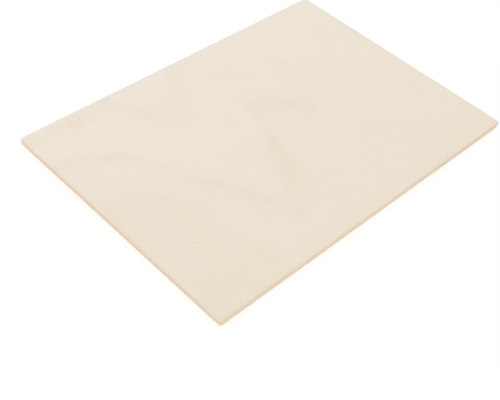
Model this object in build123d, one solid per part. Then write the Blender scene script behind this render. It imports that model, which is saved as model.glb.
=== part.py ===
from build123d import *
from build123d.topology import SkipClean
import os

# Plywood craft sheet: three veneers glued crosswise into one board, sawn square on all four
# sides and lightly sanded along its edges. It lies flat. Millimetres, +Z up.
# The origin is the centre of the underside. +X runs across the sheet, along the grain of the
# two outer veneers, and +Y runs along the sheet, along the grain of the core.

# Outline of the sheet, sawn to A4
SHEET_WIDTH = 210.0
SHEET_LENGTH = 297.0

# Thickness of each veneer, from the underside up
BACK_VENEER = 1.4
CORE_VENEER = 2.2
FACE_VENEER = 1.4

# Sharpness that sanding takes off: at the four upright corners, and along both rims
CORNER_RADIUS = 0.8
ARRIS_RADIUS = 0.25


def veneer(underside, thickness):
    """One veneer of the sheet's full outline, with its lower face at the height given."""
    outline = RectangleRounded(SHEET_WIDTH, SHEET_LENGTH, CORNER_RADIUS)
    return extrude(Plane.XY.offset(underside) * outline, thickness)


def sanded(sheet, rim):
    """The veneer with the arris eased round its lowest face, rim 0, or its highest, rim -1."""
    return fillet(sheet.edges().group_by(Axis.Z)[rim], ARRIS_RADIUS)


def plywood_sheet():
    """The three veneers as one solid, with the glue lines left as edges round its sides."""
    core_underside = BACK_VENEER
    face_underside = core_underside + CORE_VENEER
    back = sanded(veneer(0, BACK_VENEER), rim=0)
    core = veneer(core_underside, CORE_VENEER)
    face = sanded(veneer(face_underside, FACE_VENEER), rim=-1)
    with SkipClean():
        return back + core + face


sheet = plywood_sheet()
sheet.label = "plywood_sheet"
os.makedirs("parts", exist_ok=True)
export_step(sheet, "parts/plywood_sheet.step")
print("solids", len(sheet.solids()), "faces", len(sheet.faces()), "volume", round(sheet.volume, 1))
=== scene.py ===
import math

import bpy
import numpy as np
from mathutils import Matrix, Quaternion, Vector
from mathutils.geometry import delaunay_2d_cdt


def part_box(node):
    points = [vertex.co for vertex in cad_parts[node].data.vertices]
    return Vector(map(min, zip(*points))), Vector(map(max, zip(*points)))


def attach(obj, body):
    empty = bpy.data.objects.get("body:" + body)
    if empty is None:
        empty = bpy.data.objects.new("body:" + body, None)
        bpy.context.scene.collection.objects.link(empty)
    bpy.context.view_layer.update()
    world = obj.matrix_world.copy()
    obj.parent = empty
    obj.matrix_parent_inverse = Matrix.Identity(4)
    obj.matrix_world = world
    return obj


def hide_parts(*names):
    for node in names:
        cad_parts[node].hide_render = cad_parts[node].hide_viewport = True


# The sheet is dressed with one closed mesh that follows the sawn board: two sanded faces, and
# sides with their veneers, glue lines, saw marks and torn fibres. Lengths are in metres.
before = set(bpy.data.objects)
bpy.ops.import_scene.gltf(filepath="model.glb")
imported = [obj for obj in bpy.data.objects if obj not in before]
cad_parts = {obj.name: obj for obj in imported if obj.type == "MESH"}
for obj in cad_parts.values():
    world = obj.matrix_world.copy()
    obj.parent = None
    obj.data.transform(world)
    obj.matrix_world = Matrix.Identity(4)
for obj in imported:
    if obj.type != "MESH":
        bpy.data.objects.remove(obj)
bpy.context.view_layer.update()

MM = 0.001
LOW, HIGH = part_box("plywood_sheet")
WIDTH, LENGTH, THICKNESS = HIGH - LOW

# Veneers, from the underside up, and the glue between them
BACK_VENEER = 1.4 * MM
FACE_VENEER = 1.4 * MM
CORE_VENEER = THICKNESS - BACK_VENEER - FACE_VENEER
GLUE_LINE = 0.1 * MM

# Corners and rims that sanding has eased
CORNER_RADIUS = 0.8 * MM
CORNER_STEPS = 4
ARRIS_RADIUS = 0.25 * MM
ARRIS_STEPS = 3

# How far each corner of the underside is knocked in, by the ends of X and Y that meet there
CORNER_KNOCKS = {(1, 1): 1.1 * MM, (1, -1): 0.45 * MM, (-1, -1): 0.8 * MM, (-1, 1): 0.6 * MM}
KNOCK_REACH = 2.0 * MM
KNOCK_RISE = 2.6 * MM

# What share of it the upper face's corners take, and how far down from the face
UPPER_KNOCK_SHARE = 0.25
UPPER_KNOCK_FALL = 0.6 * MM

# The bites where fibres broke away from the rims, as their number, width and depth: tears where
# the saw came out below, and nicks. Then how far from the rims they spoil the side.
LOW_TEARS = (260, 1.1 * MM, 0.55 * MM)
LOW_NICKS = (60, 1.5 * MM, 0.2 * MM)
HIGH_NICKS = (46, 1.0 * MM, 0.22 * MM)
LOW_TEAR_REACH = 0.9 * MM
HIGH_TEAR_REACH = 0.5 * MM

# The saw's tooth marks on the sides
TOOTH_PITCH = 1.7 * MM
TOOTH_LEAN = 0.35
TOOTH_DEPTH = 0.035 * MM

# How far fibres cut across, fibres cut along, pockets of torn fibres and glue lie behind the side
END_GRAIN_DEPTH = 0.022 * MM
LONG_GRAIN_DEPTH = 0.012 * MM
TORN_POCKET_DEPTH = 0.16 * MM
GLUE_DEPTH = 0.05 * MM

# How closely the mesh follows the sides: along them, and up each veneer
SIDE_STEP = 0.5 * MM
ROWS_PER_VENEER = 4
SEED = 7

# The faces' points: how far inside the rim the first frame of them lies, how many spacings apart
# the frames lie, and the spacing at which a plain grid takes over
FIRST_FRAME = 1.6 * MM
FRAME_GAP = 1.8
GRID_SPACING = 9 * MM

# The page that the finishes are baked to, in millimetres: the two faces one over the other, and
# beside them the four sides as upright strips, drawn larger so that veneers and glue stay sharp
PAGE = 430.0
PAGE_GAP = 5.0
STRIP_WIDTH = 26.0
STRIP_STRETCH = 1.4

# Birch between its palest colour and the deepest that its sanded faces and its sawn sides have,
# and the tone between them, from 0 to 1, of a face, of a side sawn along the grain and across it
PALE = (0.861, 0.783, 0.691, 1)
FACE_DEEP = (0.764, 0.645, 0.463, 1)
SIDE_DEEP = (0.766, 0.615, 0.452, 1)
FACE_TONE = 0.20
SIDE_TONE = 0.55
END_TONE = 0.85

# How much deeper or paler each of these makes a face's tone. The tone per metre along X is
# painted shade, deeper towards +X
CLOUD_TONE = 0.15
MOTTLE_TONE = 0.11
HEART_TONE = 0.13
HEART_EDGE_TONE = 0.045
PAINTED_SHADE_PER_METRE = 0.5
RING_TONE = 0.17
PORE_TONE = 0.3
FLECK_TONE = 0.1
RIM_TONE = 0.3

# How much paler or, below 0, darker its clouds and rings make a face, as a share of its light
CLOUD_SHADE = -0.008
RING_SHADE = -0.010

# How wide the faces' darker rim is, and what share of the scattered flecks shows
RIM_REACH = 1.6 * MM
FLECK_SHARE = 0.16

# The tone of the fibres, in broad bands and one by one, on faces and sides alike
BROAD_FIBRE_TONE = 0.13
FINE_FIBRE_TONE = 0.3

# The same as for a face, for a sawn side. Its low and high tones are painted shade at its foot
# and painted light at its top
SIDE_STAIN_TONE = 0.35
SIDE_FOOT_PAINTED_SHADE = 0.1
SIDE_TOP_PAINTED_LIGHT = -0.06
SIDE_LAYER_TONE = 0.16
SIDE_PORE_TONE = 0.35
SIDE_TOOTH_TONE = 0.08
SIDE_CHECK_TONE = 0.5

# The peeled layers and the slanting checks that show on a side
LAYER_PITCH = 0.62 * MM
CHECK_PITCH = 1.6 * MM
CHECK_LEAN = 0.7

# Where the sides turn a little greyer along the sheet, and what share of their light they keep
GREY_BEGIN = 0.045
GREY_END = 0.09
GREY_SHADE = 0.955

# Roughness of bare sanded birch, and what fibres, scratches and the saw add to it
BARE_ROUGHNESS = 0.47
FIBRE_ROUGHNESS = 0.14
SCRATCH_ROUGHNESS = 0.08
SAWN_ROUGHNESS = 0.18
SPECULAR = 0.35

# Cured glue, bare and dusted by the saw
GLUE_DARK = (0.36, 0.24, 0.13, 1)
GLUE_DUSTED = (0.66, 0.52, 0.35, 1)

# The light on a level surface: the share from all round, and the rest from one soft lamp, whose
# place and width are in degrees
SURROUND = 0.75
LAMP = 0.25
LAMP_AZIMUTH = 38
LAMP_ELEVATION = 50
LAMP_SPREAD = 50

# The white floor: its own colour, how white it is seen, and half its width
FLOOR_WHITE = 0.92
SEEN_WHITE = 1.02
FLOOR_HALF = 8.0

# The camera, in degrees, metres and millimetres of lens
CAMERA_AZIMUTH = 40.51
CAMERA_ELEVATION = 45.61
CAMERA_ROLL = 7.49
CAMERA_AIM = (42.4 * MM, -63.0 * MM, THICKNESS)
CAMERA_DISTANCE = 620.4 * MM
CAMERA_LENS = 65.0

# Where three growth rings come to the surface of the peeled face veneer. Each point is millimetres
# along the sheet from its front side, then across it from its left side, and may lie off the sheet.
RING_LINES = (
    ((0, 9), (40, 9), (74, 12), (83, 32), (92, 41), (108, 46), (121, 34), (130, 17), (141, -4),
     (160, -14), (200, -17), (240, -10), (297, -8)),
    ((0, 41), (16, 43), (36, 54), (49, 61), (56, 80), (66, 101), (77, 121), (87, 141), (95, 158),
     (103, 173), (112, 164), (123, 150), (135, 133), (143, 112), (148, 93), (153, 80), (162, 77),
     (172, 81), (180, 93), (190, 101), (197, 92), (202, 73), (209, 50), (216, 53), (227, 69),
     (243, 81), (256, 68), (272, 48), (285, 55), (297, 62)),
    ((0, 100), (15, 94), (32, 105), (44, 120), (48, 146), (52, 168), (60, 195), (67, 218),
     (82, 245), (110, 262), (150, 262), (190, 240), (210, 212), (225, 188), (238, 184), (250, 200),
     (270, 225), (297, 235)),
)
LINE_LOW, LINE_SPAN = -40.0, 320.0

# How strongly the rings show, from 0 to 1, at these millimetres along the sheet
RING_STRENGTH = ((0, 0.7), (25, 0.8), (44, 1.0), (57, 0.62), (68, 0.62), (82, 0.95), (93, 0.8),
                 (104, 1.0), (114, 0.78), (131, 0.85), (144, 0.9), (153, 0.85), (166, 0.72),
                 (184, 1.0), (199, 0.6), (213, 0.3), (230, 0.26), (243, 0.34), (262, 0.26), (297, 0.22))

# Pin knots of the face veneer, and dents shown as a painted highlight beside painted shade:
# millimetres along and across as above, radius and how much darker or paler they are, as a share
KNOTS_AND_PAINTED_DENTS = ((87, 203, 1.0, -0.16), (89, 203.5, 0.9, 0.07), (42.8, 78.2, 0.9, -0.17), (41.6, 79.6, 1.0, 0.13),
         (153.6, 116.8, 1.0, -0.13), (152.6, 115.4, 1.0, -0.13), (152.8, 113.8, 0.9, 0.07),
         (29.2, 156.6, 0.9, -0.14), (30, 155.2, 0.9, 0.12), (142, 109, 0.9, -0.12),
         (33, 111, 0.8, -0.11), (35, 113, 0.7, -0.09), (160, 100, 0.8, -0.07), (143, 164, 0.9, -0.07),
         (11, 42, 0.8, -0.06), (139, 57, 0.9, -0.06), (136, 57, 0.9, 0.06), (11, 65, 0.9, -0.07),
         (11.8, 66.4, 0.9, 0.05))


class Side:
    """What the rows of a side and the faces beside them are made of, as the mesh's material numbers."""

    FACE, CORE, BACK, GLUE = range(4)


def outline():
    """The sheet's outline as points, outward normals and distance walked, anticlockwise."""
    half_x, half_y = WIDTH / 2 - CORNER_RADIUS, LENGTH / 2 - CORNER_RADIUS
    corners = [(half_x, -half_y, -90), (half_x, half_y, 0), (-half_x, half_y, 90), (-half_x, -half_y, 180)]
    places, normals = [], []
    for i, (x, y, start) in enumerate(corners):
        angles = np.radians(start + np.linspace(0, 90, CORNER_STEPS + 1))
        turn = np.stack([np.cos(angles), np.sin(angles)], 1)
        arc = np.array([x, y]) + CORNER_RADIUS * turn
        next_x, next_y, _ = corners[(i + 1) % 4]
        begin, end = arc[-1], np.array([next_x, next_y]) + CORNER_RADIUS * turn[-1]
        steps = round(np.linalg.norm(end - begin) / SIDE_STEP)
        share = np.arange(1, steps)[:, None] / steps
        places += [arc, begin + share * (end - begin)]
        normals += [turn, np.repeat(turn[-1:], steps - 1, axis=0)]
    places, normals = np.concatenate(places), np.concatenate(normals)
    gaps = np.linalg.norm(np.roll(places, -1, axis=0) - places, axis=1)
    return places, normals, np.concatenate([[0], np.cumsum(gaps)[:-1]]), gaps.sum()


def smooth_noise(rng, along, up, along_cells, up_cells):
    """Values from -1 to 1 that change smoothly over a side. Both places run from 0 to 1; along closes."""
    lattice = rng.uniform(-1, 1, (along_cells, up_cells + 2))
    x, y = along * along_cells, up * up_cells
    i, j = np.floor(x).astype(int), np.clip(np.floor(y).astype(int), 0, up_cells)
    fx, fy = x - i, y - j
    fx, fy = fx * fx * (3 - 2 * fx), fy * fy * (3 - 2 * fy)
    i, k = i % along_cells, (i + 1) % along_cells
    low = lattice[i, j] * (1 - fx) + lattice[k, j] * fx
    high = lattice[i, j + 1] * (1 - fx) + lattice[k, j + 1] * fx
    return low * (1 - fy) + high * fy


def profile():
    """The side's section from the underside up, as heights and the material above each of them."""
    glue_low = BACK_VENEER
    glue_high = BACK_VENEER + CORE_VENEER
    half = GLUE_LINE / 2
    spans = [
        (ARRIS_RADIUS, glue_low - half, ROWS_PER_VENEER, Side.BACK),
        (glue_low - half, glue_low + half, 2, Side.GLUE),
        (glue_low + half, glue_high - half, ROWS_PER_VENEER + 2, Side.CORE),
        (glue_high - half, glue_high + half, 2, Side.GLUE),
        (glue_high + half, THICKNESS - ARRIS_RADIUS, ROWS_PER_VENEER, Side.FACE),
    ]
    heights, above = [], []
    for low, high, rows, material in spans:
        heights += list(np.linspace(low, high, rows, endpoint=False))
        above += [material] * rows
    return np.array(heights + [THICKNESS - ARRIS_RADIUS]), above


def cross_grain(normals):
    """1 on the long sides, where the saw cut across the outer veneers' fibres, and 0 on the short."""
    return normals[:, 0] ** 2


def sawn_depth(rng, walked, total, z, across, material):
    """How far saw, grain and glue leave the side's surface behind the true outline."""
    along, up = walked / total, np.full_like(walked, z / THICKNESS)
    wander = 0.8 * smooth_noise(rng, along, up * 0, 160, 1)
    teeth = 0.5 + 0.5 * np.sin(2 * math.pi * ((walked + TOOTH_LEAN * z) / TOOTH_PITCH) + 3 * wander)
    depth = TOOTH_DEPTH * teeth * (0.6 + 0.4 * smooth_noise(rng, along, up, 60, 1))
    end_grain = across if material in (Side.FACE, Side.BACK) else 1 - across
    rough = smooth_noise(rng, along, up, 900, 3)
    torn = np.clip(smooth_noise(rng, along, up, 320, 2) - 0.55, 0, 1)
    depth += end_grain * (END_GRAIN_DEPTH * (1 + rough) + TORN_POCKET_DEPTH * torn)
    depth += (1 - end_grain) * LONG_GRAIN_DEPTH * (1 + smooth_noise(rng, along, up, 90, 6))
    if material == Side.GLUE:
        depth += GLUE_DEPTH
    return depth


def chips(rng, walked, total, count, width, depth):
    """Bites out of a rim where fibres broke away: narrow, and of uneven depth."""
    bite = np.zeros_like(walked)
    for centre, size in zip(rng.uniform(0, total, count), rng.uniform(0.4, 1, count)):
        away = (walked - centre + total / 2) % total - total / 2
        shape = np.clip(1 - np.abs(away) / (width * size), 0, 1)
        bite = np.maximum(bite, depth * size * shape ** 0.7)
    return bite


def corner_knocks(places):
    """How far towards its middle the underside's outline is knocked: most at the corners."""
    away = np.linalg.norm(np.array([WIDTH / 2, LENGTH / 2]) - np.abs(places), axis=1)
    depth = [CORNER_KNOCKS[tuple(end)] for end in np.where(places > 0, 1, -1)]
    return np.array(depth) * np.exp(-away / KNOCK_REACH)


def rim_rings(side_ring, rim_factor, torn, upward):
    """Rings that round the arris, from the side's last ring on to the face."""
    z_side, depth_side = side_ring
    rings = []
    for k in range(1, ARRIS_STEPS + 1):
        angle = math.pi / 2 * k / ARRIS_STEPS
        radius = ARRIS_RADIUS * rim_factor + torn
        inset = depth_side + radius * (1 - math.cos(angle))
        rise = ARRIS_RADIUS * math.sin(angle)
        rings.append((z_side + rise if upward else z_side - rise, inset))
    return rings


def side_rings():
    """The side's rings of points from the underside up, their materials, and the outline they follow."""
    rng = np.random.default_rng(SEED)
    places, normals, walked, total = outline()
    across = cross_grain(normals)
    heights, above = profile()

    knocks = corner_knocks(places)
    spared = 1 - 0.9 * knocks / knocks.max()
    wear_low = 1 + 0.35 * smooth_noise(rng, walked / total, walked * 0, 220, 1)
    wear_high = 1 + 0.45 * smooth_noise(rng, walked / total, walked * 0, 180, 1)
    torn_low = across * chips(rng, walked, total, *LOW_TEARS)
    torn_low += chips(rng, walked, total, *LOW_NICKS)
    torn_high = chips(rng, walked, total, *HIGH_NICKS) * (0.35 + 0.65 * across)
    torn_low *= spared
    torn_high *= spared

    sections = []
    for z, material in zip(heights, above + [Side.FACE]):
        depth = sawn_depth(rng, walked, total, z, across, material)
        low_share = np.clip(1 - (z - ARRIS_RADIUS) / LOW_TEAR_REACH, 0, 1) ** 1.5
        high_share = np.clip(1 - (THICKNESS - ARRIS_RADIUS - z) / HIGH_TEAR_REACH, 0, 1) ** 1.5
        depth += 0.5 * torn_low * low_share + 0.5 * torn_high * high_share
        sections.append((np.full_like(walked, z), depth))

    lower = rim_rings(sections[0], wear_low, torn_low, False)[::-1]
    upper = rim_rings(sections[-1], wear_high, torn_high, True)
    materials = [Side.BACK] * ARRIS_STEPS + above + [Side.FACE] * ARRIS_STEPS
    inward = -np.sign(places) * knocks[:, None] / math.sqrt(2)
    shaped = []
    for z, inset in lower + sections + upper:
        share = np.clip(1 - z / KNOCK_RISE, 0, 1) ** 1.3
        share += UPPER_KNOCK_SHARE * np.clip(1 - (THICKNESS - z) / UPPER_KNOCK_FALL, 0, 1)
        placed = places - normals * inset[:, None] + inward * share[:, None]
        shaped.append(np.column_stack([placed, z]))
    return shaped, materials, places, normals


def ruled(inset, spacing):
    """Evenly spaced places along X and along Y, from that far inside one rim to the other."""
    half_x, half_y = WIDTH / 2 - inset, LENGTH / 2 - inset
    xs = np.linspace(-half_x, half_x, round(2 * half_x / spacing) + 1)
    ys = np.linspace(-half_y, half_y, round(2 * half_y / spacing) + 1)
    return xs, ys


def face_points():
    """Points inside a face: frames of them, denser by the rim, and a plain grid in the middle."""
    inside = []
    spacing, inset = 2 * SIDE_STEP, FIRST_FRAME
    while spacing < GRID_SPACING:
        xs, ys = ruled(inset, spacing)
        inside += [(x, y) for y in (ys[0], ys[-1]) for x in xs]
        inside += [(x, y) for x in (xs[0], xs[-1]) for y in ys[1:-1]]
        inset += FRAME_GAP * spacing
        spacing *= 2
    xs, ys = ruled(inset, spacing)
    return inside + [(x, y) for x in xs for y in ys]


def face_triangles(rim):
    """Triangles over a face, as points and corners. The first points are the rim's own."""
    count = len(rim)
    points = [Vector(p) for p in rim[:, :2]] + [Vector(p) for p in face_points()]
    made = delaunay_2d_cdt(points, [], [list(range(count))], 1, 1e-7)
    if len(made[0]) != len(points):
        raise ValueError("a face's triangles lost or gained a point")
    return [tuple(p) for p in made[0][count:]], made[2]


def on_page(x, y):
    """A place on the page, from millimetres to the map's own measure."""
    return (x + PAGE_GAP / 2) / PAGE, (y + PAGE_GAP / 2) / PAGE


def face_on_page(x, y, upper):
    """Where a point of the upper or the lower face lies on the page."""
    down = WIDTH / 2 - x if upper else WIDTH / 2 + x
    shelf = 0.0 if upper else WIDTH / MM + PAGE_GAP
    return on_page((LENGTH / 2 + y) / MM, shelf + down / MM)


def sides_on_page(places, normals, steps):
    """Where the four corners of each of the sides' quads lie on the page, ring after ring."""
    facing = normals + np.roll(normals, -1, axis=0)
    side = np.round(np.arctan2(facing[:, 1], facing[:, 0]) / (math.pi / 2)).astype(int) % 4
    walk = np.array([(0, 1), (-1, 0), (0, -1), (1, 0)])[side]
    half = np.array([LENGTH, WIDTH, LENGTH, WIDTH])[side] / 2
    begin = STRIP_STRETCH * (half - (places * walk).sum(axis=1)) / MM
    end = STRIP_STRETCH * (half - (np.roll(places, -1, axis=0) * walk).sum(axis=1)) / MM
    strip = LENGTH / MM + PAGE_GAP + side * (STRIP_WIDTH + PAGE_GAP)
    corners = []
    for step in range(steps):
        left, right = strip + STRIP_WIDTH * step / steps, strip + STRIP_WIDTH * (step + 1) / steps
        for low, high, near, far in zip(left, right, begin, end):
            corners += [on_page(low, near), on_page(low, far), on_page(high, far), on_page(high, near)]
    return corners


def sheet_mesh():
    """The whole sheet as one closed mesh, with a material number and a place on the page for each face."""
    rings, ring_materials, places, normals = side_rings()
    count = len(places)
    vertices = [tuple(p) for ring in rings for p in ring]
    faces, materials = [], []
    for r, material in enumerate(ring_materials):
        low, high = r * count, (r + 1) * count
        for i in range(count):
            k = (i + 1) % count
            faces.append((low + i, low + k, high + k, high + i))
            materials.append(material)
    page = sides_on_page(places, normals, len(ring_materials))
    for ring, offset, z, material, upward in (
        (rings[-1], (len(rings) - 1) * count, THICKNESS, Side.FACE, True),
        (rings[0], 0, 0.0, Side.BACK, False),
    ):
        inner, corners = face_triangles(ring)
        base = len(vertices)
        vertices += [(x, y, z) for x, y in inner]
        for corner in corners:
            placed = [offset + c if c < count else base + c - count for c in corner]
            faces.append(placed if upward else placed[::-1])
            materials.append(material)
            page += [face_on_page(*vertices[v][:2], upward) for v in faces[-1]]
    mesh = bpy.data.meshes.new("plywood_sheet_mesh")
    mesh.from_pydata(vertices, [], faces)
    mesh.polygons.foreach_set("material_index", materials)
    mesh.polygons.foreach_set("use_smooth", [True] * len(faces))
    baked = mesh.uv_layers.new(name="OFBake")
    baked.uv.foreach_set("vector", np.array(page, dtype=np.float32).ravel())
    if mesh.validate():
        raise ValueError("the sheet's mesh had a fault")
    mesh.update()
    return mesh


class Tree:
    """Adds nodes to one node tree and joins them. An input takes a number, a colour or an output."""

    def __init__(self, tree):
        self.nodes, self.links = tree.nodes, tree.links

    def feed(self, socket, value):
        """Joins an output to a node's socket, or sets the socket to a number or colour."""
        if isinstance(value, bpy.types.NodeSocket):
            self.links.new(value, socket)
        else:
            socket.default_value = value

    def add(self, kind, inputs=None, **settings):
        """A new node with these settings, and with its inputs set or joined."""
        node = self.nodes.new(kind)
        for name, value in settings.items():
            setattr(node, name, value)
        for key, value in (inputs or {}).items():
            self.feed(node.inputs[key], value)
        return node

    def group(self, made, inputs):
        """The outputs of a node group placed in this tree, with its inputs set or joined."""
        return self.add("ShaderNodeGroup", inputs, node_tree=made).outputs

    def math(self, operation, a, b=0.0, c=0.0, clamp=False):
        """What an operation makes of up to three numbers, kept from 0 to 1 if clamped."""
        node = self.add("ShaderNodeMath", {0: a, 1: b, 2: c}, operation=operation, use_clamp=clamp)
        return node.outputs[0]

    def plus(self, total, value, share, clamp=False):
        """A total and that share of a value."""
        return self.math("MULTIPLY_ADD", value, share, total, clamp)

    def mix(self, factor, a, b, blend="MIX"):
        """One colour or the other, by a factor from 0 to 1, or the two put together another way."""
        node = self.add("ShaderNodeMix", {0: factor, 6: a, 7: b}, data_type="RGBA", blend_type=blend)
        return node.outputs[2]

    def blend(self, factor, a, b):
        """One number or the other, by a factor from 0 to 1."""
        return self.math("MULTIPLY_ADD", factor, self.math("SUBTRACT", b, a), a)

    def parts(self, vector):
        """A vector's X, Y and Z."""
        return self.add("ShaderNodeSeparateXYZ", {0: vector}).outputs

    def scaled(self, vector, per_metre):
        """A place in cells, by how many cells lie in a metre along X, Y and Z."""
        node = self.add("ShaderNodeVectorMath", {0: vector, 1: per_metre}, operation="MULTIPLY")
        return node.outputs[0]

    def noise(self, vector, per_metre, detail=2.0, roughness=0.5):
        """A soft noise from 0 to 1, with finer noises laid over it."""
        inputs = {"Vector": self.scaled(vector, per_metre), "Scale": 1.0}
        inputs.update({"Detail": detail, "Roughness": roughness})
        return self.add("ShaderNodeTexNoise", inputs).outputs[0]

    def centred(self, value):
        """A noise from 0 to 1, brought to lie evenly about 0."""
        return self.math("SUBTRACT", value, 0.5)

    def cells(self, vector, per_metre):
        """Scattered points: the distance to the nearest, and a colour by chance for each."""
        inputs = {"Vector": self.scaled(vector, per_metre), "Scale": 1.0}
        return self.add("ShaderNodeTexVoronoi", inputs).outputs

    def chosen(self, cells, channel, share):
        """1 in that share of the cells, by one channel of their colour, and 0 in the rest."""
        channels = self.add("ShaderNodeSeparateColor", {0: cells["Color"]}).outputs
        return self.math("LESS_THAN", channels[channel], share)

    def stepped(self, value, low, high, out_low=0.0, out_high=1.0):
        """A smooth step between two numbers, as the value goes from low to high."""
        inputs = {0: value, 1: low, 2: high, 3: out_low, 4: out_high}
        node = self.add("ShaderNodeMapRange", inputs, interpolation_type="SMOOTHSTEP")
        return node.outputs[0]


def new_group(name, vectors, numbers):
    """A new node group that makes numbers from vectors, with its tree and the ends its nodes join."""
    made = bpy.data.node_groups.new(name, "ShaderNodeTree")
    for label in vectors:
        made.interface.new_socket(label, in_out="INPUT", socket_type="NodeSocketVector")
    for label in numbers:
        made.interface.new_socket(label, in_out="OUTPUT", socket_type="NodeSocketFloat")
    tree = Tree(made)
    return made, tree, tree.add("NodeGroupInput").outputs, tree.add("NodeGroupOutput").inputs


def fibres_group():
    """Streaks along the grain, from broad bands down to single fibres. The grain runs along X."""
    made, t, given, out = new_group("birch fibres", ["Position"], ["Tone", "Relief"])
    sway = t.noise(given["Position"], (14, 22, 22))
    lifted = t.add("ShaderNodeCombineXYZ", {1: t.math("MULTIPLY_ADD", sway, 0.006, -0.003)}).outputs[0]
    at = t.add("ShaderNodeVectorMath", {0: given["Position"], 1: lifted}, operation="ADD").outputs[0]
    broad = t.noise(at, (9, 190, 190), 3.0, 0.6)
    fine = t.noise(at, (60, 3000, 3000), 3.0, 0.65)
    broad_tone = t.math("MULTIPLY", t.centred(broad), BROAD_FIBRE_TONE)
    fine_tone = t.math("MULTIPLY", t.centred(fine), FINE_FIBRE_TONE)
    t.feed(out["Tone"], t.math("ADD", broad_tone, fine_tone))
    t.feed(out["Relief"], t.plus(t.math("MULTIPLY", broad, 0.3), fine, 0.7))
    return made


def pores_group():
    """Birch's fine pores: hair-thin dashes along the grain, and dots where it is cut across."""
    made, t, given, out = new_group("birch pores", ["Position"], ["Pores"])
    cells = t.cells(given["Position"], (420, 3100, 3100))
    pore = t.math("MULTIPLY", t.stepped(cells["Distance"], 0.42, 0.12), t.chosen(cells, 0, 0.45))
    strewn = t.stepped(t.noise(given["Position"], (30, 260, 260)), 0.35, 0.65, 0.25, 1.0)
    t.feed(out["Pores"], t.math("MULTIPLY", pore, strewn))
    return made


def flecks_group():
    """Short dark dashes and small dents, thinly strewn along the grain."""
    made, t, given, out = new_group("pith flecks", ["Position"], ["Dash", "Dent"])
    dashes = t.cells(given["Position"], (70, 520, 520))
    dash = t.math("MULTIPLY", t.stepped(dashes["Distance"], 0.28, 0.05), t.chosen(dashes, 0, FLECK_SHARE))
    dents = t.cells(given["Position"], (42, 60, 60))
    dent = t.math("MULTIPLY", t.stepped(dents["Distance"], 0.045, 0.02), t.chosen(dents, 1, 0.07))
    t.feed(out["Dash"], dash)
    t.feed(out["Dent"], dent)
    return made


def sanding_group():
    """The fine straight scratches that the sanding belt leaves along the sheet."""
    made, t, given, out = new_group("sanding belt", ["Position"], ["Scratches"])
    lines = t.noise(given["Position"], (3200, 12, 60), 2.0, 0.7)
    patches = t.noise(given["Position"], (25, 15, 25), 1.0)
    t.feed(out["Scratches"], t.math("MULTIPLY", lines, t.stepped(patches, 0.35, 0.65)))
    return made


def sawn_group():
    """What the saw and the peeling leave on a side: tooth marks, a bruised tone, layers and checks."""
    made, t, given, out = new_group(
        "sawn side",
        ["Position", "Normal"],
        ["On side", "Tooth marks", "Stain", "Layers", "Checks"],
    )
    position = given["Position"]
    place = t.parts(position)
    upright = t.math("ABSOLUTE", t.parts(given["Normal"])[2])
    t.feed(out["On side"], t.stepped(upright, 0.93, 0.6))
    along = t.math("ADD", place[0], place[1])
    teeth = t.math("MULTIPLY", t.plus(along, place[2], TOOTH_LEAN), 2 * math.pi / TOOTH_PITCH)
    wander = t.math("MULTIPLY", t.noise(position, (90, 90, 30)), 9.0)
    wave = t.math("SINE", t.math("ADD", teeth, wander))
    t.feed(out["Tooth marks"], t.math("MULTIPLY_ADD", wave, 0.5, 0.5))
    t.feed(out["Stain"], t.noise(position, (60, 60, 300), 3.0))

    drift = t.math("MULTIPLY", t.noise(position, (18, 18, 40)), 5.0)
    level = t.plus(drift, place[2], 1 / LAYER_PITCH)
    t.feed(out["Layers"], t.stepped(t.math("PINGPONG", level, 0.5), 0.16, 0.0))
    uneven = t.math("MULTIPLY", t.noise(position, (140, 140, 20), 1.0), 2.0)
    split = t.plus(uneven, t.plus(along, place[2], CHECK_LEAN), 1 / CHECK_PITCH)
    some = t.stepped(t.noise(position, (330, 330, 700), 1.0), 0.5, 0.62)
    check = t.stepped(t.math("PINGPONG", split, 0.5), 0.045, 0.0)
    t.feed(out["Checks"], t.math("MULTIPLY", check, some))
    return made


def dark_rim_group():
    """The faces' outermost strip, deeper in tone towards the rim, with a ragged inner edge."""
    made, t, given, out = new_group("dark rim", ["Position"], ["Wear"])
    place = t.parts(given["Position"])
    from_sides = t.math("SUBTRACT", WIDTH / 2, t.math("ABSOLUTE", place[0]))
    from_ends = t.math("SUBTRACT", LENGTH / 2, t.math("ABSOLUTE", place[1]))
    inside = t.math("MINIMUM", from_sides, from_ends)
    ragged = t.noise(given["Position"], (260, 260, 260), 3.0, 0.6)
    reach = t.math("MULTIPLY", RIM_REACH, t.math("MULTIPLY", ragged, 2.0))
    t.feed(out["Wear"], t.stepped(t.math("DIVIDE", inside, reach), 1.0, 0.0))
    return made


FIBRES, PORES, FLECKS, SANDING = fibres_group(), pores_group(), flecks_group(), sanding_group()
SAWN, DARK_RIM = sawn_group(), dark_rim_group()


def surface(name):
    """A new material, as its tree and its Principled shader."""
    material = bpy.data.materials.new(name)
    material.use_nodes = True
    tree = Tree(material.node_tree)
    return material, tree, material.node_tree.nodes["Principled BSDF"]


def curve_through(t, along, points, low, span):
    """A value that follows points, of millimetres along the sheet and value, as a smooth curve."""
    curve = t.add("ShaderNodeFloatCurve", {"Value": along})
    line = curve.mapping.curves[0]
    placed = [(a * MM / LENGTH, (b - low) / span) for a, b in points]
    for place in placed[1:-1]:
        line.points.new(*place)
    line.points[0].location, line.points[-1].location = placed[0], placed[-1]
    curve.mapping.update()
    return t.math("MULTIPLY_ADD", curve.outputs[0], span, low)


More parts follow.
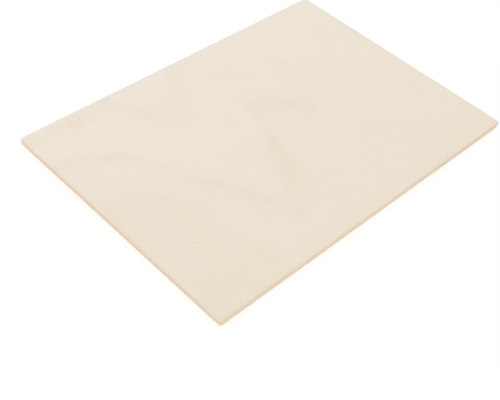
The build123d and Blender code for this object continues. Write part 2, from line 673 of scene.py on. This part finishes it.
def laid_rings(t, position, grain):
    """A number that grows by one from each ring of the face veneer to the next, and their strength."""
    place = t.parts(position)
    sway = t.centred(t.noise(position, (55, 55, 55), 3.0, 0.6))
    feather = t.centred(t.noise(grain, (45, 900, 900), 2.0, 0.6))
    along = t.math("MULTIPLY_ADD", place[1], 1 / LENGTH, 0.5)
    along = t.plus(along, sway, 0.022, clamp=True)
    across = t.math("MULTIPLY_ADD", place[0], 1 / MM, WIDTH / 2 / MM)
    across = t.plus(across, feather, 20)
    first, second, third = [curve_through(t, along, line, LINE_LOW, LINE_SPAN) for line in RING_LINES]
    past_first = t.math("DIVIDE", t.math("SUBTRACT", across, first), t.math("SUBTRACT", second, first))
    past_second = t.math("DIVIDE", t.math("SUBTRACT", across, second), t.math("SUBTRACT", third, second))
    past_third = t.math("MAXIMUM", t.math("SUBTRACT", past_second, 1.0), 0.0)
    to_third = t.math("ADD", past_second, 0.0, clamp=True)
    count = t.math("ADD", t.math("MINIMUM", past_first, 1.0), to_third)
    count = t.math("ADD", t.plus(count, past_third, 0.55), 1.0)
    strength = curve_through(t, along, RING_STRENGTH, 0.0, 1.0)
    return count, t.math("MULTIPLY", strength, t.stepped(count, 2.4, 3.3, 1.0, 0.4))


def grown_rings(t, grain):
    """The same for a veneer whose figure isn't known: rings like the height lines of low hills."""
    hills = t.noise(grain, (3.2, 6.5, 6.5), 1.5)
    feather = t.math("MULTIPLY", t.noise(grain, (45, 900, 900), 2.0, 0.6), 0.25)
    return t.plus(feather, hills, 9.0), t.math("MULTIPLY_ADD", hills, 0.5, 0.6)


def ring_figure(t, position, count, strength):
    """The darker late wood that ends each growth ring, broken up, and a faint line halfway between."""
    near = t.math("PINGPONG", count, 0.5)
    late = t.stepped(near, 0.26, 0.0)
    core = t.stepped(near, 0.11, 0.0)
    faint = t.math("MULTIPLY", t.stepped(t.math("PINGPONG", count, 0.25), 0.09, 0.0), 0.08)
    edge = t.math("MAXIMUM", t.plus(t.math("MULTIPLY", late, 0.6), core, 0.4), faint)
    broken = t.stepped(t.noise(position, (75, 75, 75), 2.0, 0.6), 0.3, 0.62, 0.62, 1.15)
    return t.math("MULTIPLY", edge, t.math("MULTIPLY", strength, broken))


def knots_and_painted_dents(t, position):
    """The face's shade at pin knots, and at dents: a painted highlight beside painted shade."""
    shade = 1.0
    for along, across, radius, change in KNOTS_AND_PAINTED_DENTS:
        place = (across * MM - WIDTH / 2, along * MM - LENGTH / 2, THICKNESS)
        away = t.add("ShaderNodeVectorMath", {0: position, 1: place}, operation="DISTANCE").outputs["Value"]
        shade = t.plus(shade, t.stepped(away, radius * MM, 0.3 * radius * MM), change)
    return shade


def face_tones(t, position, grain, fibres, pores, flecks, figure):
    """A sanded face's tone, from 0 to 1, and how much of its light it keeps."""
    clouds = t.centred(t.noise(grain, (12, 22, 22)))
    mottle = t.centred(t.noise(grain, (55, 95, 95)))
    tone = t.math("MULTIPLY_ADD", clouds, CLOUD_TONE, FACE_TONE)
    tone = t.plus(tone, mottle, MOTTLE_TONE)
    tone = t.math("ADD", tone, fibres["Tone"])
    shade = t.math("MULTIPLY_ADD", clouds, CLOUD_SHADE, 1.0)
    if figure == "laid":
        count, strength = laid_rings(t, position, grain)
        tone = t.plus(tone, t.stepped(count, 1.1, 3.4, -0.5, 0.5), HEART_TONE)
        tone = t.plus(tone, t.stepped(count, 2.85, 3.1), HEART_EDGE_TONE)
        # Painted shade of light falling off across the face: deeper towards +X
        tone = t.plus(tone, t.parts(position)[0], PAINTED_SHADE_PER_METRE)
        # Pin knots, and dents painted as a highlight beside painted shade
        shade = t.math("MULTIPLY", shade, knots_and_painted_dents(t, position))
    if figure == "grown":
        count, strength = grown_rings(t, grain)
    if figure:
        edge = ring_figure(t, position, count, strength)
        tone = t.plus(tone, edge, RING_TONE)
        shade = t.plus(shade, edge, RING_SHADE)
    tone = t.plus(t.plus(tone, flecks["Dash"], FLECK_TONE), pores, PORE_TONE)
    # A deeper tone along the faces' rims
    rim_factor = t.group(DARK_RIM, {"Position": position})["Wear"]
    return t.plus(tone, rim_factor, RIM_TONE, clamp=True), shade


def side_tones(t, position, facing, fibres, pores, sawn):
    """A sawn side's tone, from 0 to 1, and how much of its light it keeps.

    Facing is the normal's part along the grain: the side shows end grain where it is near 1 or -1.
    """
    place = t.parts(position)
    end_grain = t.stepped(t.math("ABSOLUTE", facing), 0.45, 0.85)
    tone = t.math("MULTIPLY_ADD", end_grain, END_TONE - SIDE_TONE, SIDE_TONE)
    stain = t.math("MULTIPLY", t.centred(sawn["Stain"]), SIDE_STAIN_TONE)
    tone = t.math("ADD", tone, t.math("ADD", stain, fibres["Tone"]))
    # Painted shade towards the side's foot and painted light towards its top
    tone = t.math("ADD", tone, t.stepped(place[2], 0.0, THICKNESS, SIDE_FOOT_PAINTED_SHADE, SIDE_TOP_PAINTED_LIGHT))
    tone = t.plus(tone, sawn["Layers"], SIDE_LAYER_TONE)
    tone = t.plus(tone, pores, SIDE_PORE_TONE)
    tone = t.plus(tone, sawn["Tooth marks"], SIDE_TOOTH_TONE)
    checks = t.math("MULTIPLY", sawn["Checks"], end_grain)
    tone = t.plus(tone, checks, SIDE_CHECK_TONE, clamp=True)
    return tone, t.stepped(place[1], GREY_BEGIN, GREY_END, 1.0, GREY_SHADE)


def bare_birch(name, seed, grain_along_x, figure):
    """Sanded veneer: its face where it lies level, and its sawn fibres where it stands upright."""
    material, t, shader = surface(name)
    position = t.add("ShaderNodeTexCoord").outputs["Object"]
    normal = t.add("ShaderNodeNewGeometry").outputs["Normal"]
    turn = 0.0 if grain_along_x else -math.pi / 2
    inputs = {"Vector": position, "Location": (seed, 0.37 * seed, 0.11 * seed), "Rotation": (0, 0, turn)}
    grain = t.add("ShaderNodeMapping", inputs).outputs[0]
    fibres = t.group(FIBRES, {"Position": grain})
    pores = t.group(PORES, {"Position": grain})["Pores"]
    flecks = t.group(FLECKS, {"Position": grain})
    scratches = t.group(SANDING, {"Position": position})["Scratches"]
    sawn = t.group(SAWN, {"Position": position, "Normal": normal})
    on_side = sawn["On side"]

    face_tone, face_shade = face_tones(t, position, grain, fibres, pores, flecks, figure)
    facing = t.parts(normal)[0 if grain_along_x else 1]
    side_tone, side_shade = side_tones(t, position, facing, fibres, pores, sawn)
    colour = t.mix(on_side, t.mix(face_tone, PALE, FACE_DEEP), t.mix(side_tone, PALE, SIDE_DEEP))
    shade = t.blend(on_side, face_shade, side_shade)
    shades = t.add("ShaderNodeCombineColor", {channel: shade for channel in range(3)}).outputs[0]
    t.feed(shader.inputs["Base Color"], t.mix(1.0, colour, shades, "MULTIPLY"))

    rough = t.math("MULTIPLY_ADD", fibres["Relief"], FIBRE_ROUGHNESS, BARE_ROUGHNESS)
    rough = t.plus(rough, scratches, SCRATCH_ROUGHNESS)
    rough = t.plus(rough, on_side, SAWN_ROUGHNESS, clamp=True)
    t.feed(shader.inputs["Roughness"], rough)
    t.feed(shader.inputs["Specular IOR Level"], SPECULAR)

    relief = t.plus(fibres["Relief"], flecks["Dent"], -3.0)
    relief = t.plus(relief, scratches, 0.4)
    relief = t.plus(relief, pores, -1.0)
    relief = t.plus(relief, t.math("MULTIPLY", sawn["Tooth marks"], on_side), 0.8)
    bump = t.add("ShaderNodeBump", {"Strength": 0.5, "Distance": 0.02 * MM, "Height": relief})
    t.feed(shader.inputs["Normal"], bump.outputs[0])
    return material


def glue_line():
    """The cured glue between two veneers, bitten back and dusted by the saw."""
    material, t, shader = surface("glue line")
    position = t.add("ShaderNodeTexCoord").outputs["Object"]
    normal = t.add("ShaderNodeNewGeometry").outputs["Normal"]
    stain = t.group(SAWN, {"Position": position, "Normal": normal})["Stain"]
    spots = t.noise(position, (700, 700, 900), 2.0, 0.6)
    dust = t.plus(t.math("MULTIPLY", spots, 0.5), stain, 0.6, clamp=True)
    t.feed(shader.inputs["Base Color"], t.mix(dust, GLUE_DARK, GLUE_DUSTED))
    t.feed(shader.inputs["Roughness"], t.math("MULTIPLY_ADD", spots, 0.3, 0.4))
    bump = t.add("ShaderNodeBump", {"Strength": 0.6, "Distance": 0.03 * MM, "Height": spots})
    t.feed(shader.inputs["Normal"], bump.outputs[0])
    return material


def dressed_sheet():
    """The sheet's mesh with its finishes, riding in the place of the plain solid."""
    sheet = bpy.data.objects.new("plywood_sheet_dressed", sheet_mesh())
    bpy.context.scene.collection.objects.link(sheet)
    finishes = {
        Side.FACE: bare_birch("birch face", 0.0, True, "laid"),
        Side.CORE: bare_birch("birch core", 3.1, False, None),
        Side.BACK: bare_birch("birch back", 5.3, True, "grown"),
        Side.GLUE: glue_line(),
    }
    for number in sorted(finishes):
        sheet.data.materials.append(finishes[number])
    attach(sheet, "root")
    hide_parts("plywood_sheet")


def seen_as_background(t):
    """1 for rays that show the background in the picture or in a gloss, and 0 for those that light."""
    path = t.add("ShaderNodeLightPath").outputs
    seen = t.math("MAXIMUM", path["Is Camera Ray"], path["Is Glossy Ray"])
    return t.math("MAXIMUM", seen, path["Is Transmission Ray"])


def white_floor():
    """A level white floor that keeps the sheet's shadow."""
    mesh = bpy.data.meshes.new("floor_mesh")
    corners = [(-1, -1), (1, -1), (1, 1), (-1, 1)]
    mesh.from_pydata([(FLOOR_HALF * x, FLOOR_HALF * y, 0) for x, y in corners], [], [(0, 1, 2, 3)])
    floor = bpy.data.objects.new("floor", mesh)
    bpy.context.scene.collection.objects.link(floor)
    material, t, shader = surface("white floor")
    t.feed(shader.inputs["Base Color"], (FLOOR_WHITE, FLOOR_WHITE, FLOOR_WHITE, 1))
    t.feed(shader.inputs["Roughness"], 1.0)
    t.feed(shader.inputs["Specular IOR Level"], 0.0)
    t.feed(shader.inputs["Emission Color"], (1, 1, 1, 1))
    lift = SEEN_WHITE - FLOOR_WHITE * (SURROUND + LAMP)
    t.feed(shader.inputs["Emission Strength"], t.math("MULTIPLY", seen_as_background(t), lift))
    mesh.materials.append(material)


def seen_from(azimuth, elevation):
    """The way from the sheet towards a lamp or camera. Azimuth 0 is in front of it, in degrees."""
    azimuth, elevation = math.radians(azimuth), math.radians(elevation)
    level = math.cos(elevation)
    return Vector((math.sin(azimuth) * level, -math.cos(azimuth) * level, math.sin(elevation)))


def studio_light():
    """An even white surround, and one broad soft lamp on the camera's side, a little above it."""
    world = bpy.data.worlds.new("white surround")
    world.use_nodes = True
    bpy.context.scene.world = world
    t = Tree(world.node_tree)
    background = world.node_tree.nodes["Background"]
    t.feed(background.inputs["Color"], (1, 1, 1, 1))
    strength = t.math("MULTIPLY_ADD", seen_as_background(t), 1 - SURROUND, SURROUND)
    t.feed(background.inputs["Strength"], strength)

    towards = seen_from(LAMP_AZIMUTH, LAMP_ELEVATION)
    lamp = bpy.data.lights.new("soft lamp", "SUN")
    lamp.angle = math.radians(LAMP_SPREAD)
    lamp.energy = LAMP * math.pi / towards.z
    holder = bpy.data.objects.new("soft lamp", lamp)
    holder.location = towards
    holder.rotation_mode = "QUATERNION"
    holder.rotation_quaternion = (-towards).to_track_quat("-Z", "Y")
    bpy.context.scene.collection.objects.link(holder)


def photograph_camera():
    """Looks down on the sheet from the photograph's side, height and distance."""
    back = seen_from(CAMERA_AZIMUTH, CAMERA_ELEVATION)
    roll = Quaternion((0, 0, 1), math.radians(CAMERA_ROLL))
    data = bpy.data.cameras.new("camera")
    data.sensor_width = 36.0
    data.lens = CAMERA_LENS
    data.clip_start, data.clip_end = 0.01, 40.0
    camera = bpy.data.objects.new("camera", data)
    camera.location = Vector(CAMERA_AIM) + back * CAMERA_DISTANCE
    camera.rotation_mode = "QUATERNION"
    camera.rotation_quaternion = (-back).to_track_quat("-Z", "Y") @ roll
    bpy.context.scene.collection.objects.link(camera)
    bpy.context.scene.camera = camera


photograph_camera()
dressed_sheet()
white_floor()
studio_light()
bpy.context.scene.view_settings.view_transform = "Standard"
